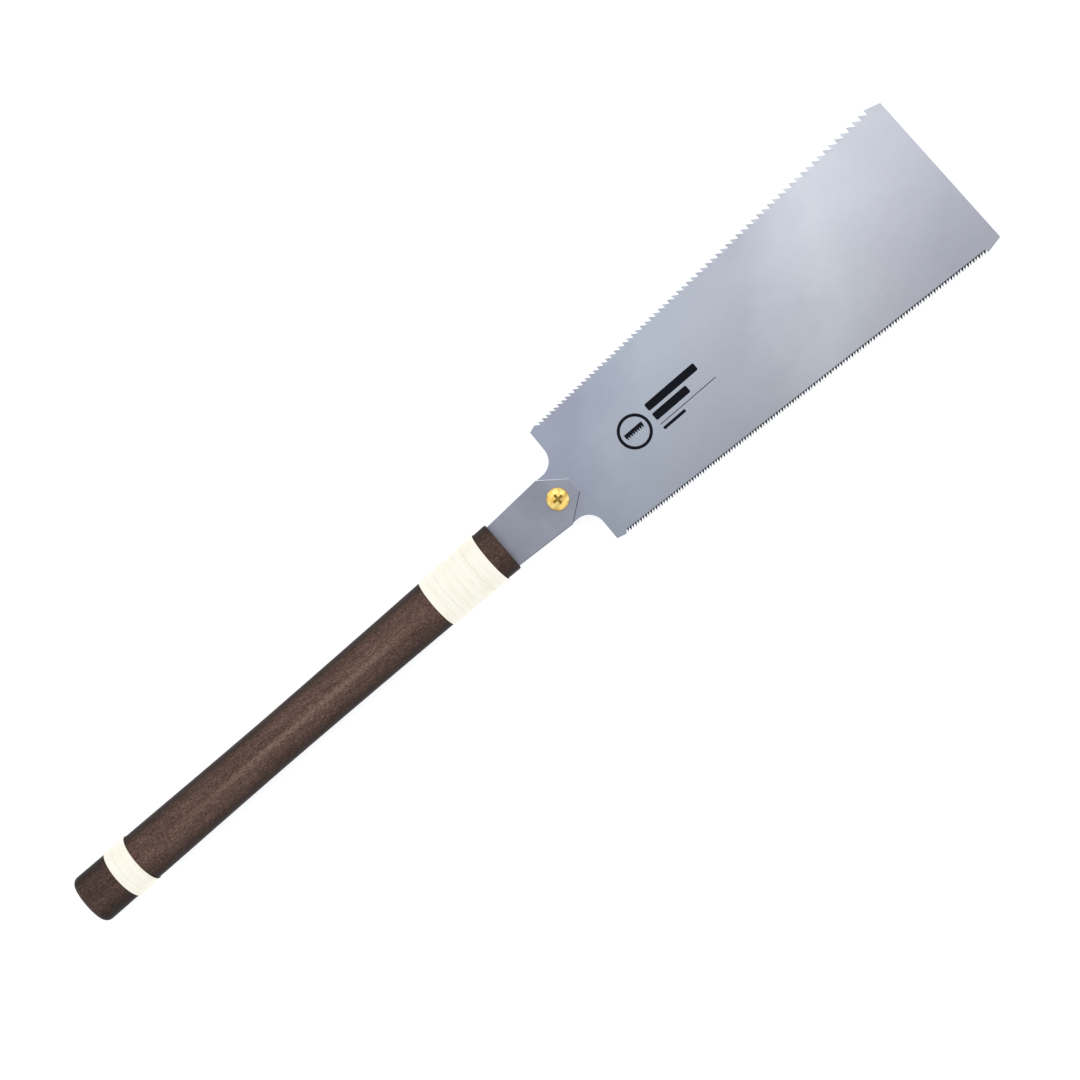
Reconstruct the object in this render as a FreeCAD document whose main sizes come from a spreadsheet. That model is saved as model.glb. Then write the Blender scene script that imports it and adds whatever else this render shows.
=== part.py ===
"""Double-edged Japanese pull saw with a replaceable blade.

The saw lies flat, as on a bench: +X runs from the butt of the handle to the toe of the blade,
+Y points to the rip teeth and +Z is up, square to the blade. Every piece is drawn with x measured
from the butt and z from the blade's middle plane; its Placement then moves it so that the origin
is under the middle of the saw, on the bench.
"""
import FreeCAD, Part
import math
import os

import Sketcher
from FreeCAD import Placement, Rotation, Vector

# Driving dimensions: millimetres, except counts, growth factors, ratios and powers.
DIMENSIONS = {
    "overall_length": 558.4,
    # blade: the heel and the toe lean towards each other, so the rip edge is a little shorter
    "blade_length": 240.2,
    "end_lean": 0.02,
    "blade_thickness": 0.6,
    "heel_half_width": 34.0,
    "toe_half_width": 44.7,
    "tooth_line_start": 321.8,
    "tooth_line_end": 547.5,
    "tooth_line_start_half": 35.35,
    "tooth_line_end_half": 46.65,
    "rip_line_hollow": 0.6,
    "neck_half_width": 13.9,
    "neck_start": 303.0,
    "neck_radius": 9.0,
    "tang_end": 270.0,
    "tang_half_width": 9.5,
    "tang_corner": 3.0,
    "tang_slot_width": 5.8,
    # teeth: the gaps between tips grow by a constant factor towards the toe
    "rip_gullets": 69,
    "rip_first_pitch": 2.51,
    "rip_growth": 1.0075,
    "rip_depth_ratio": 0.74,
    "rip_hook": 6.0,
    "crosscut_start": 321.5,
    "crosscut_gullets": 135,
    "crosscut_first_pitch": 1.606,
    "crosscut_growth": 1.0007,
    "crosscut_depth_ratio": 1.22,
    "crosscut_hook": 1.0,
    "tip_land": 0.12,
    # holder: two cheeks and a spacer
    "cheek_thickness": 1.0,
    "cheek_round": 0.45,
    "blade_play": 0.05,
    "nose_half_width": 4.2,
    "nose_position": 317.8,
    "chamfer_position": 304.5,
    "cheek_half_width": 14.35,
    "cheek_end": 214.0,
    "cheek_end_half_width": 9.6,
    "spacer_inset": 0.4,
    "spacer_mouth": 269.6,
    "spacer_front": 277.0,
    "spacer_mouth_half": 9.75,
    "spacer_front_half": 10.75,
    "rivet_radius": 1.5,
    "rear_rivet": 221.0,
    "middle_rivet": 245.0,
    "front_rivet": 263.5,
    # clamp screw and nut
    "screw_position": 306.9,
    "screw_head_radius": 5.75,
    "screw_head_height": 2.8,
    "screw_rim_height": 0.9,
    "screw_rim_round": 0.35,
    "screw_radius": 2.5,
    "screw_tip_recess": 0.2,
    "screw_hole_radius": 2.8,
    "cross_arm": 2.7,
    "cross_width": 1.3,
    "cross_depth": 1.7,
    "driver_slot_width": 1.0,
    "driver_slot_depth": 0.8,
    "nut_head_height": 1.9,
    "nut_rim_height": 0.7,
    "nut_bore_radius": 2.58,
    "nut_square": 8.0,
    "nut_square_play": 0.1,
    "nut_square_height": 0.9,
    # handle
    "grip_length": 271.1,
    "butt_width": 27.1,
    "waist_width": 25.05,
    "waist_position": 120.0,
    "collar_width": 27.9,
    "butt_flare": 1.3,
    "collar_flare": 1.6,
    "grip_oval": 0.78,
    "butt_round": 3.8,
    "collar_round": 0.9,
    "slot_play": 0.15,
    "pin_radius": 1.25,
    "rear_pin": 235.0,
    "front_pin": 255.0,
    # cane wraps
    "wrap_thickness": 0.6,
    "rear_wrap_start": 21.3,
    "rear_wrap_end": 34.0,
    "front_wrap_start": 227.0,
    "front_wrap_end": 262.2,
}

REAR_STATIONS = 6
FRONT_STATIONS = 6
ROUNDING = 1e-6


class Size:
    """A dimension that carries both its number and the sheet expression that drives it."""

    def __init__(self, number, text):
        self.number = number
        self.text = text

    def __add__(self, other):
        other = as_size(other)
        return Size(self.number + other.number, f"({self.text} + {other.text})")

    def __sub__(self, other):
        other = as_size(other)
        return Size(self.number - other.number, f"({self.text} - {other.text})")

    def __mul__(self, other):
        other = as_size(other)
        return Size(self.number * other.number, f"({self.text} * {other.text})")

    def __truediv__(self, other):
        other = as_size(other)
        return Size(self.number / other.number, f"({self.text} / {other.text})")

    def __neg__(self):
        return Size(-self.number, f"(-1 * {self.text})")

    def power(self, other):
        return Size(self.number**other.number, f"pow({self.text}; {other.text})")


def as_size(value):
    if isinstance(value, Size):
        return value
    return Size(float(value), repr(float(value)))


def dim(alias):
    """The sheet's dimension of that name."""
    return Size(float(DIMENSIONS[alias]), f"Sheet.{alias}")


doc = FreeCAD.newDocument("pull_saw")


def make_sheet():
    sheet = doc.addObject("Spreadsheet::Sheet", "Sheet")
    for row, (alias, value) in enumerate(DIMENSIONS.items(), start=1):
        sheet.set(f"A{row}", alias)
        sheet.set(f"B{row}", str(value))
        sheet.setAlias(f"B{row}", alias)
    doc.recompute()


def bind(thing, prop, size):
    """Drive a property from the sheet."""
    thing.setExpression(prop, as_size(size).text)


# ---------------------------------------------------------------- shared lengths


def gap_half():
    """Half the gap between the cheeks: half the blade and its play."""
    return dim("blade_thickness") / 2 + dim("blade_play")


def cheek_outer():
    """Height of a cheek's outer face over the blade's middle plane."""
    return gap_half() + dim("cheek_thickness")


def grip_half_width(position):
    """Half the handle's width at a position: it narrows from the butt to the waist, then flares."""
    position = as_size(position)
    waist = dim("waist_position")
    if position.number <= waist.number:
        share = (waist - position) / waist
        flare = share.power(dim("butt_flare")) * (dim("butt_width") - dim("waist_width"))
    else:
        share = (position - waist) / (dim("grip_length") - waist)
        flare = share.power(dim("collar_flare")) * (dim("collar_width") - dim("waist_width"))
    return (dim("waist_width") + flare) / 2


def blade_height():
    """The saw lies on the front wrap's widest turn, which holds the blade's middle this high."""
    return grip_half_width(dim("front_wrap_end")) * dim("grip_oval") + dim("wrap_thickness")


def toe_at(y):
    """Position of the toe's edge at a distance y from the axis, towards the rip teeth."""
    return dim("overall_length") - dim("end_lean") * (dim("toe_half_width") + y)


def heel_at(y):
    """Position of the heel's edge at y; the blade's length is measured on its axis."""
    return toe_at(as_size(0)) - dim("blade_length") + dim("end_lean") * y


def put_in_place(thing, along=0.0, up=0.0):
    """Move a finished sub-part from the drawing frame to the saw's own frame."""
    bind(thing, ".Placement.Base.x", as_size(along) - dim("overall_length") / 2)
    bind(thing, ".Placement.Base.z", as_size(up) + blade_height())


# ---------------------------------------------------------------- sketch helpers


def new_body(name):
    body = doc.addObject("PartDesign::Body", name)
    body.Label = name
    return body


def new_sketch(body, name, lift=None):
    """A sketch on the body's own XY plane, raised by lift."""
    plane = [f for f in body.Origin.OriginFeatures if f.Role == "XY_Plane"][0]
    sketch = body.newObject("Sketcher::SketchObject", name)
    sketch.AttachmentSupport = [(plane, "")]
    sketch.MapMode = "FlatFace"
    if lift is not None:
        bind(sketch, ".AttachmentOffset.Base.z", lift)
    return sketch


def polygon(sketch, points):
    """A closed outline: corners given as Size are held by dimensions bound to the sheet."""
    vectors = [Vector(as_size(x).number, as_size(y).number, 0) for x, y in points]
    first = sketch.GeometryCount
    edges = [Part.LineSegment(a, b) for a, b in zip(vectors, vectors[1:] + vectors[:1])]
    sketch.addGeometry(edges, False)
    for k, corner in enumerate(points):
        if not isinstance(corner[0], Size) and not isinstance(corner[1], Size):
            continue
        here = first + k
        before = first + (k - 1) % len(edges)
        sketch.addConstraint(Sketcher.Constraint("Coincident", before, 2, here, 1))
        for kind, size in zip(("DistanceX", "DistanceY"), corner):
            place = Sketcher.Constraint(kind, -1, 1, here, 1, as_size(size).number)
            index = sketch.addConstraint(place)
            bind(sketch, f"Constraints[{index}]", size)


def rectangle(sketch, x_low, x_high, half_width):
    x_low = as_size(x_low)
    x_high = as_size(x_high)
    half_width = as_size(half_width)
    polygon(
        sketch,
        [(x_low, -half_width), (x_high, -half_width), (x_high, half_width), (x_low, half_width)],
    )


def circle(sketch, x, radius):
    """A circle centred on the saw's long axis, or on the origin when x is zero."""
    x = as_size(x)
    radius = as_size(radius)
    centre = Vector(x.number, 0, 0)
    here = sketch.addGeometry(Part.Circle(centre, Vector(0, 0, 1), radius.number), False)
    if abs(x.number) < ROUNDING:
        sketch.addConstraint(Sketcher.Constraint("Coincident", here, 3, -1, 1))
    else:
        sketch.addConstraint(Sketcher.Constraint("PointOnObject", here, 3, -1))
        place = Sketcher.Constraint("DistanceX", -1, 1, here, 3, x.number)
        bind(sketch, f"Constraints[{sketch.addConstraint(place)}]", x)
    size = Sketcher.Constraint("Radius", here, radius.number)
    bind(sketch, f"Constraints[{sketch.addConstraint(size)}]", radius)


def mirrored_outline(half):
    """The full outline from its +Y half, listed from rear to front."""
    return list(half) + [(x, -as_size(y)) for x, y in reversed(half)]


def pad(body, sketch, name, length, both_ways=False, downwards=False):
    feature = body.newObject("PartDesign::Pad", name)
    feature.Profile = sketch
    bind(feature, "Length", length)
    feature.SideType = "Symmetric" if both_ways else "One side"
    feature.Reversed = downwards
    doc.recompute()
    return feature


def pocket(body, sketch, name, depth=None):
    """Cut down from the sketch by depth, or right through both ways without one."""
    before = body.Shape.Volume
    feature = body.newObject("PartDesign::Pocket", name)
    feature.Profile = sketch
    if depth is None:
        feature.Type = "ThroughAll"
        feature.SideType = "Symmetric"
    else:
        bind(feature, "Length", depth)
    doc.recompute()
    if feature.Shape.Volume > before - ROUNDING:
        raise RuntimeError(f"{name} cut nothing")
    return feature


def edges_where(shape, test):
    """Names of the edges whose two ends both pass the test."""
    found = []
    for number, edge in enumerate(shape.Edges, start=1):
        if all(test(vertex.Point) for vertex in edge.Vertexes):
            found.append(f"Edge{number}")
    return found


def upright_edges_where(shape, test):
    """Names of the edges square to the blade whose place passes the test."""
    found = []
    for number, edge in enumerate(shape.Edges, start=1):
        low = edge.Vertexes[0].Point
        high = edge.Vertexes[-1].Point
        level_shift = math.hypot(high.x - low.x, high.y - low.y)
        if level_shift < ROUNDING and abs(high.z - low.z) > ROUNDING and test(low):
            found.append(f"Edge{number}")
    return found


def round_edges(body, base, name, radius, edges):
    feature = body.newObject("PartDesign::Fillet", name)
    feature.Base = (base, edges)
    bind(feature, "Radius", radius)
    doc.recompute()
    return feature


# ---------------------------------------------------------------- solid helpers


def round_bar(name, along, radius, half_length):
    """A plain bar square to the blade, centred on its middle plane."""
    bar = doc.addObject("Part::Cylinder", name)
    bind(bar, "Radius", radius)
    bind(bar, "Height", half_length * 2)
    bind(bar, ".Placement.Base.x", along)
    bind(bar, ".Placement.Base.z", -half_length)
    return bar


def upright_bar(name, radius, low, high):
    bar = doc.addObject("Part::Cylinder", name)
    bind(bar, "Radius", radius)
    bind(bar, "Height", high - low)
    bind(bar, ".Placement.Base.z", low)
    return bar


def block(name, half_length, half_width, low, high):
    """A box centred on the z axis."""
    box = doc.addObject("Part::Box", name)
    bind(box, "Length", half_length * 2)
    bind(box, "Width", half_width * 2)
    bind(box, "Height", high - low)
    bind(box, ".Placement.Base.x", -half_length)
    bind(box, ".Placement.Base.y", -half_width)
    bind(box, ".Placement.Base.z", low)
    return box


def cut(name, base, tool):
    feature = doc.addObject("Part::Cut", name)
    feature.Base = base
    feature.Tool = tool
    doc.recompute()
    return feature


def fuse(name, base, tool):
    feature = doc.addObject("Part::Fuse", name)
    feature.Base = base
    feature.Tool = tool
    doc.recompute()
    return feature


def rounded(name, base, radius, test):
    feature = doc.addObject("Part::Fillet", name)
    feature.Base = base
    feature.Edges = [
        (int(edge.removeprefix("Edge")), radius, radius) for edge in edges_where(base.Shape, test)
    ]
    doc.recompute()
    return feature


# ---------------------------------------------------------------- blade


def tip_positions(start, first_pitch, growth, gullets):
    """Tooth tips from heel to toe; the first and last are the ends of the plain edges."""
    positions = [start]
    for k in range(gullets):
        positions.append(positions[-1] + first_pitch * growth**k)
    return positions


def tooth_line(side, x):
    """Distance of a row's tips from the saw's axis at x; the rip row is very slightly hollow."""
    start = DIMENSIONS["tooth_line_start"]
    rise = DIMENSIONS["tooth_line_end_half"] - DIMENSIONS["tooth_line_start_half"]
    share = (x - start) / (DIMENSIONS["tooth_line_end"] - start)
    hollow = DIMENSIONS["rip_line_hollow"] if side > 0 else 0.0
    bow = hollow * share * (3 * share - 2)
    return DIMENSIONS["tooth_line_start_half"] + rise * share + bow


def tooth_row(side, tips, depth_ratio, hook_degrees):
    """Corners of one row from heel to toe: from each tip a long back down to the next gullet,
    then a steep face, turned to the handle, up to the next tip."""
    land = DIMENSIONS["tip_land"]
    undercut = math.tan(math.radians(hook_degrees))
    corners = []
    for tip, after in zip(tips, tips[1:]):
        depth = depth_ratio * (after - tip)
        corners.append((tip + land, side * tooth_line(side, tip + land)))
        corners.append((after + depth * undercut, side * (tooth_line(side, after) - depth)))
        corners.append((after, side * tooth_line(side, after)))
    return corners


def rip_row():
    tips = tip_positions(
        DIMENSIONS["tooth_line_start"],
        DIMENSIONS["rip_first_pitch"],
        DIMENSIONS["rip_growth"],
        DIMENSIONS["rip_gullets"],
    )
    return tooth_row(1, tips, DIMENSIONS["rip_depth_ratio"], DIMENSIONS["rip_hook"])


def crosscut_row():
    tips = tip_positions(
        DIMENSIONS["crosscut_start"],
        DIMENSIONS["crosscut_first_pitch"],
        DIMENSIONS["crosscut_growth"],
        DIMENSIONS["crosscut_gullets"],
    )
    depth_ratio = DIMENSIONS["crosscut_depth_ratio"]
    return tooth_row(-1, tips, depth_ratio, DIMENSIONS["crosscut_hook"])


def blade():
    body = new_body("blade")
    outline = new_sketch(body, "blade_outline")
    neck = dim("neck_half_width")
    heel = dim("heel_half_width")
    toe = dim("toe_half_width")
    rip_side = [
        (dim("tang_end"), dim("tang_half_width")),
        (dim("neck_start"), neck),
        (heel_at(neck), neck),
        (heel_at(heel), heel),
    ]
    toe_edge = [(toe_at(toe), toe), (toe_at(-toe), -toe)]
    crosscut_side = [
        (heel_at(-heel), -heel),
        (heel_at(-neck), -neck),
        (dim("neck_start"), -neck),
        (dim("tang_end"), -dim("tang_half_width")),
    ]
    back_to_heel = list(reversed(crosscut_row()))
    polygon(outline, rip_side + rip_row() + toe_edge + back_to_heel + crosscut_side)
    plate = pad(body, outline, "blade_plate", dim("blade_thickness"), both_ways=True)
    neck_corners = [(heel_at(neck).number, neck.number), (heel_at(-neck).number, -neck.number)]

    def is_neck_corner(point):
        return any(math.hypot(point.x - x, point.y - y) < ROUNDING for x, y in neck_corners)

    def is_tang_corner(point):
        return abs(point.x - DIMENSIONS["tang_end"]) < ROUNDING

    neck_edges = upright_edges_where(plate.Shape, is_neck_corner)
    necked = round_edges(body, plate, "neck_arcs", dim("neck_radius"), neck_edges)
    tang_edges = upright_edges_where(necked.Shape, is_tang_corner)
    round_edges(body, necked, "tang_corners", dim("tang_corner"), tang_edges)

    slot_half = dim("tang_slot_width") / 2
    slot = new_sketch(body, "tang_slot_sketch")
    rectangle(slot, dim("tang_end") - slot_half, dim("screw_position"), slot_half)
    pocket(body, slot, "tang_slot")
    slot_end = new_sketch(body, "tang_slot_end_sketch")
    circle(slot_end, dim("screw_position"), slot_half)
    pocket(body, slot_end, "tang_slot_end")

    put_in_place(body)
    return body


# ---------------------------------------------------------------- holder


def cheek_outline(inset=0.0):
    inset = as_size(inset)
    return [
        (dim("cheek_end"), dim("cheek_end_half_width") - inset),
        (dim("chamfer_position"), dim("cheek_half_width") - inset),
        (dim("nose_position"), dim("nose_half_width")),
    ]


def fixing_holes(sketch):
    """The rivets and the handle pins go through both cheeks and the spacer."""
    for alias in ("rear_rivet", "middle_rivet", "front_rivet"):
        circle(sketch, dim(alias), dim("rivet_radius"))
    for alias in ("rear_pin", "front_pin"):
        circle(sketch, dim(alias), dim("pin_radius"))


def outline_edges(shape, height):
    """The straight edges of a cheek's outline at one height; the holes' edges are left out."""
    corners = [(x.number, as_size(y).number) for x, y in mirrored_outline(cheek_outline())]

    def is_corner(point):
        near = any(math.hypot(point.x - x, point.y - y) < ROUNDING for x, y in corners)
        return near and abs(point.z - height.number) < ROUNDING

    return edges_where(shape, is_corner)


def holder_front_plate():
    body = new_body("holder_front_plate")
    sketch = new_sketch(body, "front_cheek_sketch", gap_half())
    polygon(sketch, mirrored_outline(cheek_outline()))
    fixing_holes(sketch)
    circle(sketch, dim("screw_position"), dim("screw_hole_radius"))
    plate = pad(body, sketch, "front_cheek", dim("cheek_thickness"))
    edges = outline_edges(plate.Shape, cheek_outer())
    round_edges(body, plate, "front_cheek_rounding", dim("cheek_round"), edges)
    put_in_place(body)
    return body


def holder_back_plate():
    body = new_body("holder_back_plate")
    sketch = new_sketch(body, "back_cheek_sketch", -gap_half())
    polygon(sketch, mirrored_outline(cheek_outline()))
    fixing_holes(sketch)
    half_square = dim("nut_square") / 2 + dim("nut_square_play")
    middle = dim("screw_position")
    rectangle(sketch, middle - half_square, middle + half_square, half_square)
    plate = pad(body, sketch, "back_cheek", dim("cheek_thickness"), downwards=True)
    edges = outline_edges(plate.Shape, -cheek_outer())
    round_edges(body, plate, "back_cheek_rounding", dim("cheek_round"), edges)
    put_in_place(body)
    return body


def holder_spacer():
    """A plate a little thicker than the blade, forked to centre the end of the tang."""
    body = new_body("holder_spacer")
    sketch = new_sketch(body, "spacer_sketch")
    inset = dim("spacer_inset")
    # the cheeks' edges are straight, so the spacer's front corner lies on the same line, set in
    share = (dim("spacer_front") - dim("cheek_end")) / (dim("chamfer_position") - dim("cheek_end"))
    widening = dim("cheek_half_width") - dim("cheek_end_half_width")
    front_half = dim("cheek_end_half_width") + widening * share - inset
    polygon(
        sketch,
        mirrored_outline(
            [
                (dim("cheek_end"), dim("cheek_end_half_width") - inset),
                (dim("spacer_front"), front_half),
                (dim("spacer_front"), dim("spacer_front_half")),
                (dim("spacer_mouth"), dim("spacer_mouth_half")),
            ]
        ),
    )
    fixing_holes(sketch)
    pad(body, sketch, "spacer_plate", gap_half() * 2, both_ways=True)
    put_in_place(body)
    return body


def group(name, members):
    """Identical loose solids that share one node."""
    compound = doc.addObject("Part::Compound", name)
    compound.Label = name
    compound.Links = members
    put_in_place(compound)
    return compound


def holder_rivets():
    rivets = [
        round_bar(f"{alias}_bar", dim(alias), dim("rivet_radius"), cheek_outer())
        for alias in ("rear_rivet", "middle_rivet", "front_rivet")
    ]
    return group("holder_rivets", rivets)


# ---------------------------------------------------------------- clamp screw and nut


def dome(name, rim_height, height, direction):
    """A round head standing on z = 0 and rising to height: a low rim under a spherical cap."""
    radius = dim("screw_head_radius")
    rise = height - rim_height
    cap_radius = (radius * radius + rise * rise) / (rise * 2)
    low = as_size(0) if direction > 0 else -height
    slug = upright_bar(f"{name}_slug", radius, low, low + height)
    ball = doc.addObject("Part::Sphere", f"{name}_ball")
    bind(ball, "Radius", cap_radius)
    bind(ball, ".Placement.Base.z", (height - cap_radius) * direction)
    head = doc.addObject("Part::Common", f"{name}_head")
    head.Base = slug
    head.Tool = ball
    doc.recompute()
    rim = direction * rim_height.number

    def is_rim(point):
        return abs(point.z - rim) < ROUNDING

    return rounded(f"{name}_dome", head, DIMENSIONS["screw_rim_round"], is_rim)


def clamp_screw():
    """Domed head above the front cheek, with a cross recess and a slot across it; the plain
    shank stands for its thread."""
    top = dim("screw_head_height")
    reach = cheek_outer() * 2 + dim("nut_head_height") - dim("screw_tip_recess")
    shank = upright_bar("screw_shank", dim("screw_radius"), -reach, dim("screw_rim_height"))
    body = fuse("solid_screw", dome("screw", dim("screw_rim_height"), top, 1), shank)
    arm = dim("cross_arm")
    half = dim("cross_width") / 2
    floor = top - dim("cross_depth")
    body = cut("screw_with_recess", body, block("recess_across", arm, half, floor, top))
    body = cut("screw_with_cross", body, block("recess_along", half, arm, floor, top))
    slot_half = dim("driver_slot_width") / 2
    slot_floor = top - dim("driver_slot_depth")
    reach_out = dim("screw_head_radius") + slot_half
    body = cut("clamp_screw", body, block("driver_slot", reach_out, slot_half, slot_floor, top))
    body.Label = "clamp_screw"
    put_in_place(body, dim("screw_position"), cheek_outer())
    return body


def clamp_nut():
    """Domed nut behind the back cheek; its square shoulder in the cheek keeps it from turning."""
    head = dome("nut", dim("nut_rim_height"), dim("nut_head_height"), -1)
    half_square = dim("nut_square") / 2
    low = -dim("nut_rim_height")
    shoulder = block("nut_shoulder", half_square, half_square, low, dim("nut_square_height"))
    solid = fuse("solid_nut", head, shoulder)
    bore_low = -dim("nut_head_height")
    bore = upright_bar("nut_bore", dim("nut_bore_radius"), bore_low, dim("nut_square_height"))
    body = cut("clamp_nut", solid, bore)
    body.Label = "clamp_nut"
    put_in_place(body, dim("screw_position"), -cheek_outer())
    return body


# ---------------------------------------------------------------- handle and wraps


def station_positions():
    """Where the handle's section is set out: evenly to the waist, evenly on to the front wrap."""
    waist = dim("waist_position")
    rear = [waist * (k / REAR_STATIONS) for k in range(REAR_STATIONS)]
    reach = dim("front_wrap_end") - waist
    front = [waist + reach * (k / FRONT_STATIONS) for k in range(FRONT_STATIONS + 1)]
    return rear + front + [dim("grip_length")]


def oval_loft(name, grow=0.0):
    """The handle's smooth body through oval sections, every one grown outwards by grow."""
    sections = []
    for number, position in enumerate(station_positions()):
        half_width = grip_half_width(position)
        oval = doc.addObject("Part::Ellipse", f"{name}_oval_{number}")
        bind(oval, "MajorRadius", half_width + grow)
        bind(oval, "MinorRadius", half_width * dim("grip_oval") + grow)
        # the ellipse's own X becomes the saw's Y, and its own Y becomes the saw's Z
        oval.Placement = Placement(Vector(0, 0, 0), Rotation(Vector(1, 1, 1), 120))
        bind(oval, ".Placement.Base.x", position)
        sections.append(oval)
    loft = doc.addObject("Part::Loft", name)
    loft.Sections = sections
    loft.Solid = True
    loft.Ruled = False
    doc.recompute()
    return loft


def slot_for_holder():
    """The slot in the handle's front: the holder's own outline with a little play at its edges."""
    body = new_body("holder_slot")
    sketch = new_sketch(body, "holder_slot_sketch")
    play = dim("slot_play")
    rear, shoulder, _ = cheek_outline(-play)
    polygon(sketch, mirrored_outline([(rear[0] - play, rear[1]), shoulder]))
    pad(body, sketch, "slot_block", cheek_outer() * 2, both_ways=True)
    return body


def handle_grip(core):
    body = cut("slotted_grip", core, slot_for_holder())
    for alias in ("rear_pin", "front_pin"):
        half_length = grip_half_width(dim(alias)) * dim("grip_oval") + dim("pin_radius")
        hole = round_bar(f"{alias}_hole", dim(alias), dim("pin_radius"), half_length)
        body = cut(f"{alias}_bored_grip", body, hole)
    body = rounded(
        "butt_rounded_grip",
        body,
        DIMENSIONS["butt_round"],
        lambda point: abs(point.x) < ROUNDING,
    )
    front = DIMENSIONS["grip_length"]

    def is_collar_rim(point):
        # the rim's only vertex is its seam, level with the blade; the slot's corners are not
        return abs(point.x - front) < ROUNDING and abs(point.z) < ROUNDING

    body = rounded("handle_grip", body, DIMENSIONS["collar_round"], is_collar_rim)
    body.Label = "handle_grip"
    put_in_place(body)
    return body


def handle_pins():
    """Cross pins through wood and holder, flush with the wood and hidden by the front wrap."""
    pins = [
        round_bar(
            f"{alias}_bar",
            dim(alias),
            dim("pin_radius"),
            grip_half_width(dim(alias)) * dim("grip_oval") - dim("slot_play"),
        )
        for alias in ("rear_pin", "front_pin")
    ]
    return group("handle_pins", pins)


def cane_wrap(name, core, shell, start, end):
    """The closed band that the wound strip fills, seated on the wood."""
    slab = doc.addObject("Part::Box", f"{name}_slab")
    side = dim("collar_width") * 2
    bind(slab, "Length", end - start)
    bind(slab, "Width", side)
    bind(slab, "Height", side)
    bind(slab, ".Placement.Base.x", start)
    bind(slab, ".Placement.Base.y", -side / 2)
    bind(slab, ".Placement.Base.z", -side / 2)
    band = doc.addObject("Part::Common", f"{name}_band")
    band.Base = shell
    band.Tool = slab
    doc.recompute()
    sleeve = cut(name, band, core)
    sleeve.Label = name
    put_in_place(sleeve)
    return sleeve


# ---------------------------------------------------------------- whole saw


def build():
    make_sheet()
    core = oval_loft("grip_core")
    shell = oval_loft("wrap_shell", dim("wrap_thickness"))
    return [
        blade(),
        holder_front_plate(),
        holder_back_plate(),
        holder_spacer(),
        holder_rivets(),
        clamp_screw(),
        clamp_nut(),
        handle_grip(core),
        handle_pins(),
        cane_wrap("front_wrap", core, shell, dim("front_wrap_start"), dim("front_wrap_end")),
        cane_wrap("rear_wrap", core, shell, dim("rear_wrap_start"), dim("rear_wrap_end")),
    ]


def check(subparts):
    for thing in doc.Objects:
        if "Invalid" in thing.State or "Error" in thing.State:
            raise RuntimeError(f"{thing.Name} is {thing.State}")
    for subpart in subparts:
        if subpart.Shape.isNull() or not subpart.Shape.isValid():
            raise RuntimeError(f"{subpart.Label} has no valid shape")


def write(subparts):
    os.makedirs("parts", exist_ok=True)
    for subpart in subparts:
        subpart.Shape.exportStep(f"parts/{subpart.Label}.step")
        box = subpart.Shape.BoundBox
        print(
            f"{subpart.Label:20s} {len(subpart.Shape.Solids)} solids {subpart.Shape.Volume:10.1f} mm3"
            f"  x {box.XMin:8.2f} {box.XMax:8.2f}  y {box.YMin:7.2f} {box.YMax:7.2f}"
            f"  z {box.ZMin:6.2f} {box.ZMax:6.2f}"
        )


subparts = build()
doc.recompute()
check(subparts)
write(subparts)
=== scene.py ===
"""The looks of a double-edged Japanese pull saw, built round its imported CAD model.

All lengths are metres in the saw's own frame: +X from the butt of the handle to the toe of the
blade, +Y to the rip teeth, +Z up, square to the blade. MM turns millimetres into metres.
"""

import math
import random

import bmesh
import bpy
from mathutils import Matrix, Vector
from mathutils.bvhtree import BVHTree


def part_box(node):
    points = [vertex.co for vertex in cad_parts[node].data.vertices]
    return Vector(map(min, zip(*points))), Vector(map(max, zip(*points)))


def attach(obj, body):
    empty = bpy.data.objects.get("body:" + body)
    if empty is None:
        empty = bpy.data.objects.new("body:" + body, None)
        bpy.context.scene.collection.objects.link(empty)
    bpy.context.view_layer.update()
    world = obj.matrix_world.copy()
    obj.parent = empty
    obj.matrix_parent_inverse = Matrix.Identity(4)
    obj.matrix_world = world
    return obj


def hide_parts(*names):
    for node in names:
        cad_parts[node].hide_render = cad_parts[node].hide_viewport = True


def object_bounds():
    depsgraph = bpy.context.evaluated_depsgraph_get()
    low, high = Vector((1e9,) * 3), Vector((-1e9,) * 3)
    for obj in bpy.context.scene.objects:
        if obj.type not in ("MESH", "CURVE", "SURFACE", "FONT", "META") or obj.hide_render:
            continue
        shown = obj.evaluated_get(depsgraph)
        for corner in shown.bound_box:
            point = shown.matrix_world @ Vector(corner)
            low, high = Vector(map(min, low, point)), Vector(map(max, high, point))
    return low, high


MM = 0.001
WELD = 1e-6

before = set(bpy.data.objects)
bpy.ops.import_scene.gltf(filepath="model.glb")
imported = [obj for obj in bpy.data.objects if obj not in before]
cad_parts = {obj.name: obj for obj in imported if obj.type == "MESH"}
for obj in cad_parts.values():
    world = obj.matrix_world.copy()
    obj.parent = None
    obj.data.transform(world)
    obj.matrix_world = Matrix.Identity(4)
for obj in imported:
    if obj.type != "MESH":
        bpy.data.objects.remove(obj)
CAD_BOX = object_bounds()

BLADE_LOW, BLADE_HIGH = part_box("blade")
BLADE_MIDDLE = (BLADE_LOW.z + BLADE_HIGH.z) / 2
BLADE_LENGTH = 240.2 * MM
TOE = BLADE_HIGH.x
HEEL = TOE - BLADE_LENGTH
BUTT = CAD_BOX[0].x

# The camera looks straight down on the blade from a metre above it.
CAMERA_TURN = 40.74
CAMERA_CENTRE = Vector((7.8 * MM, -9.6 * MM, BLADE_MIDDLE))
CAMERA_RISE = 1.0
CAMERA_VIEW_WIDTH = 536.2 * MM
SENSOR_WIDTH = 36.0

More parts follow.
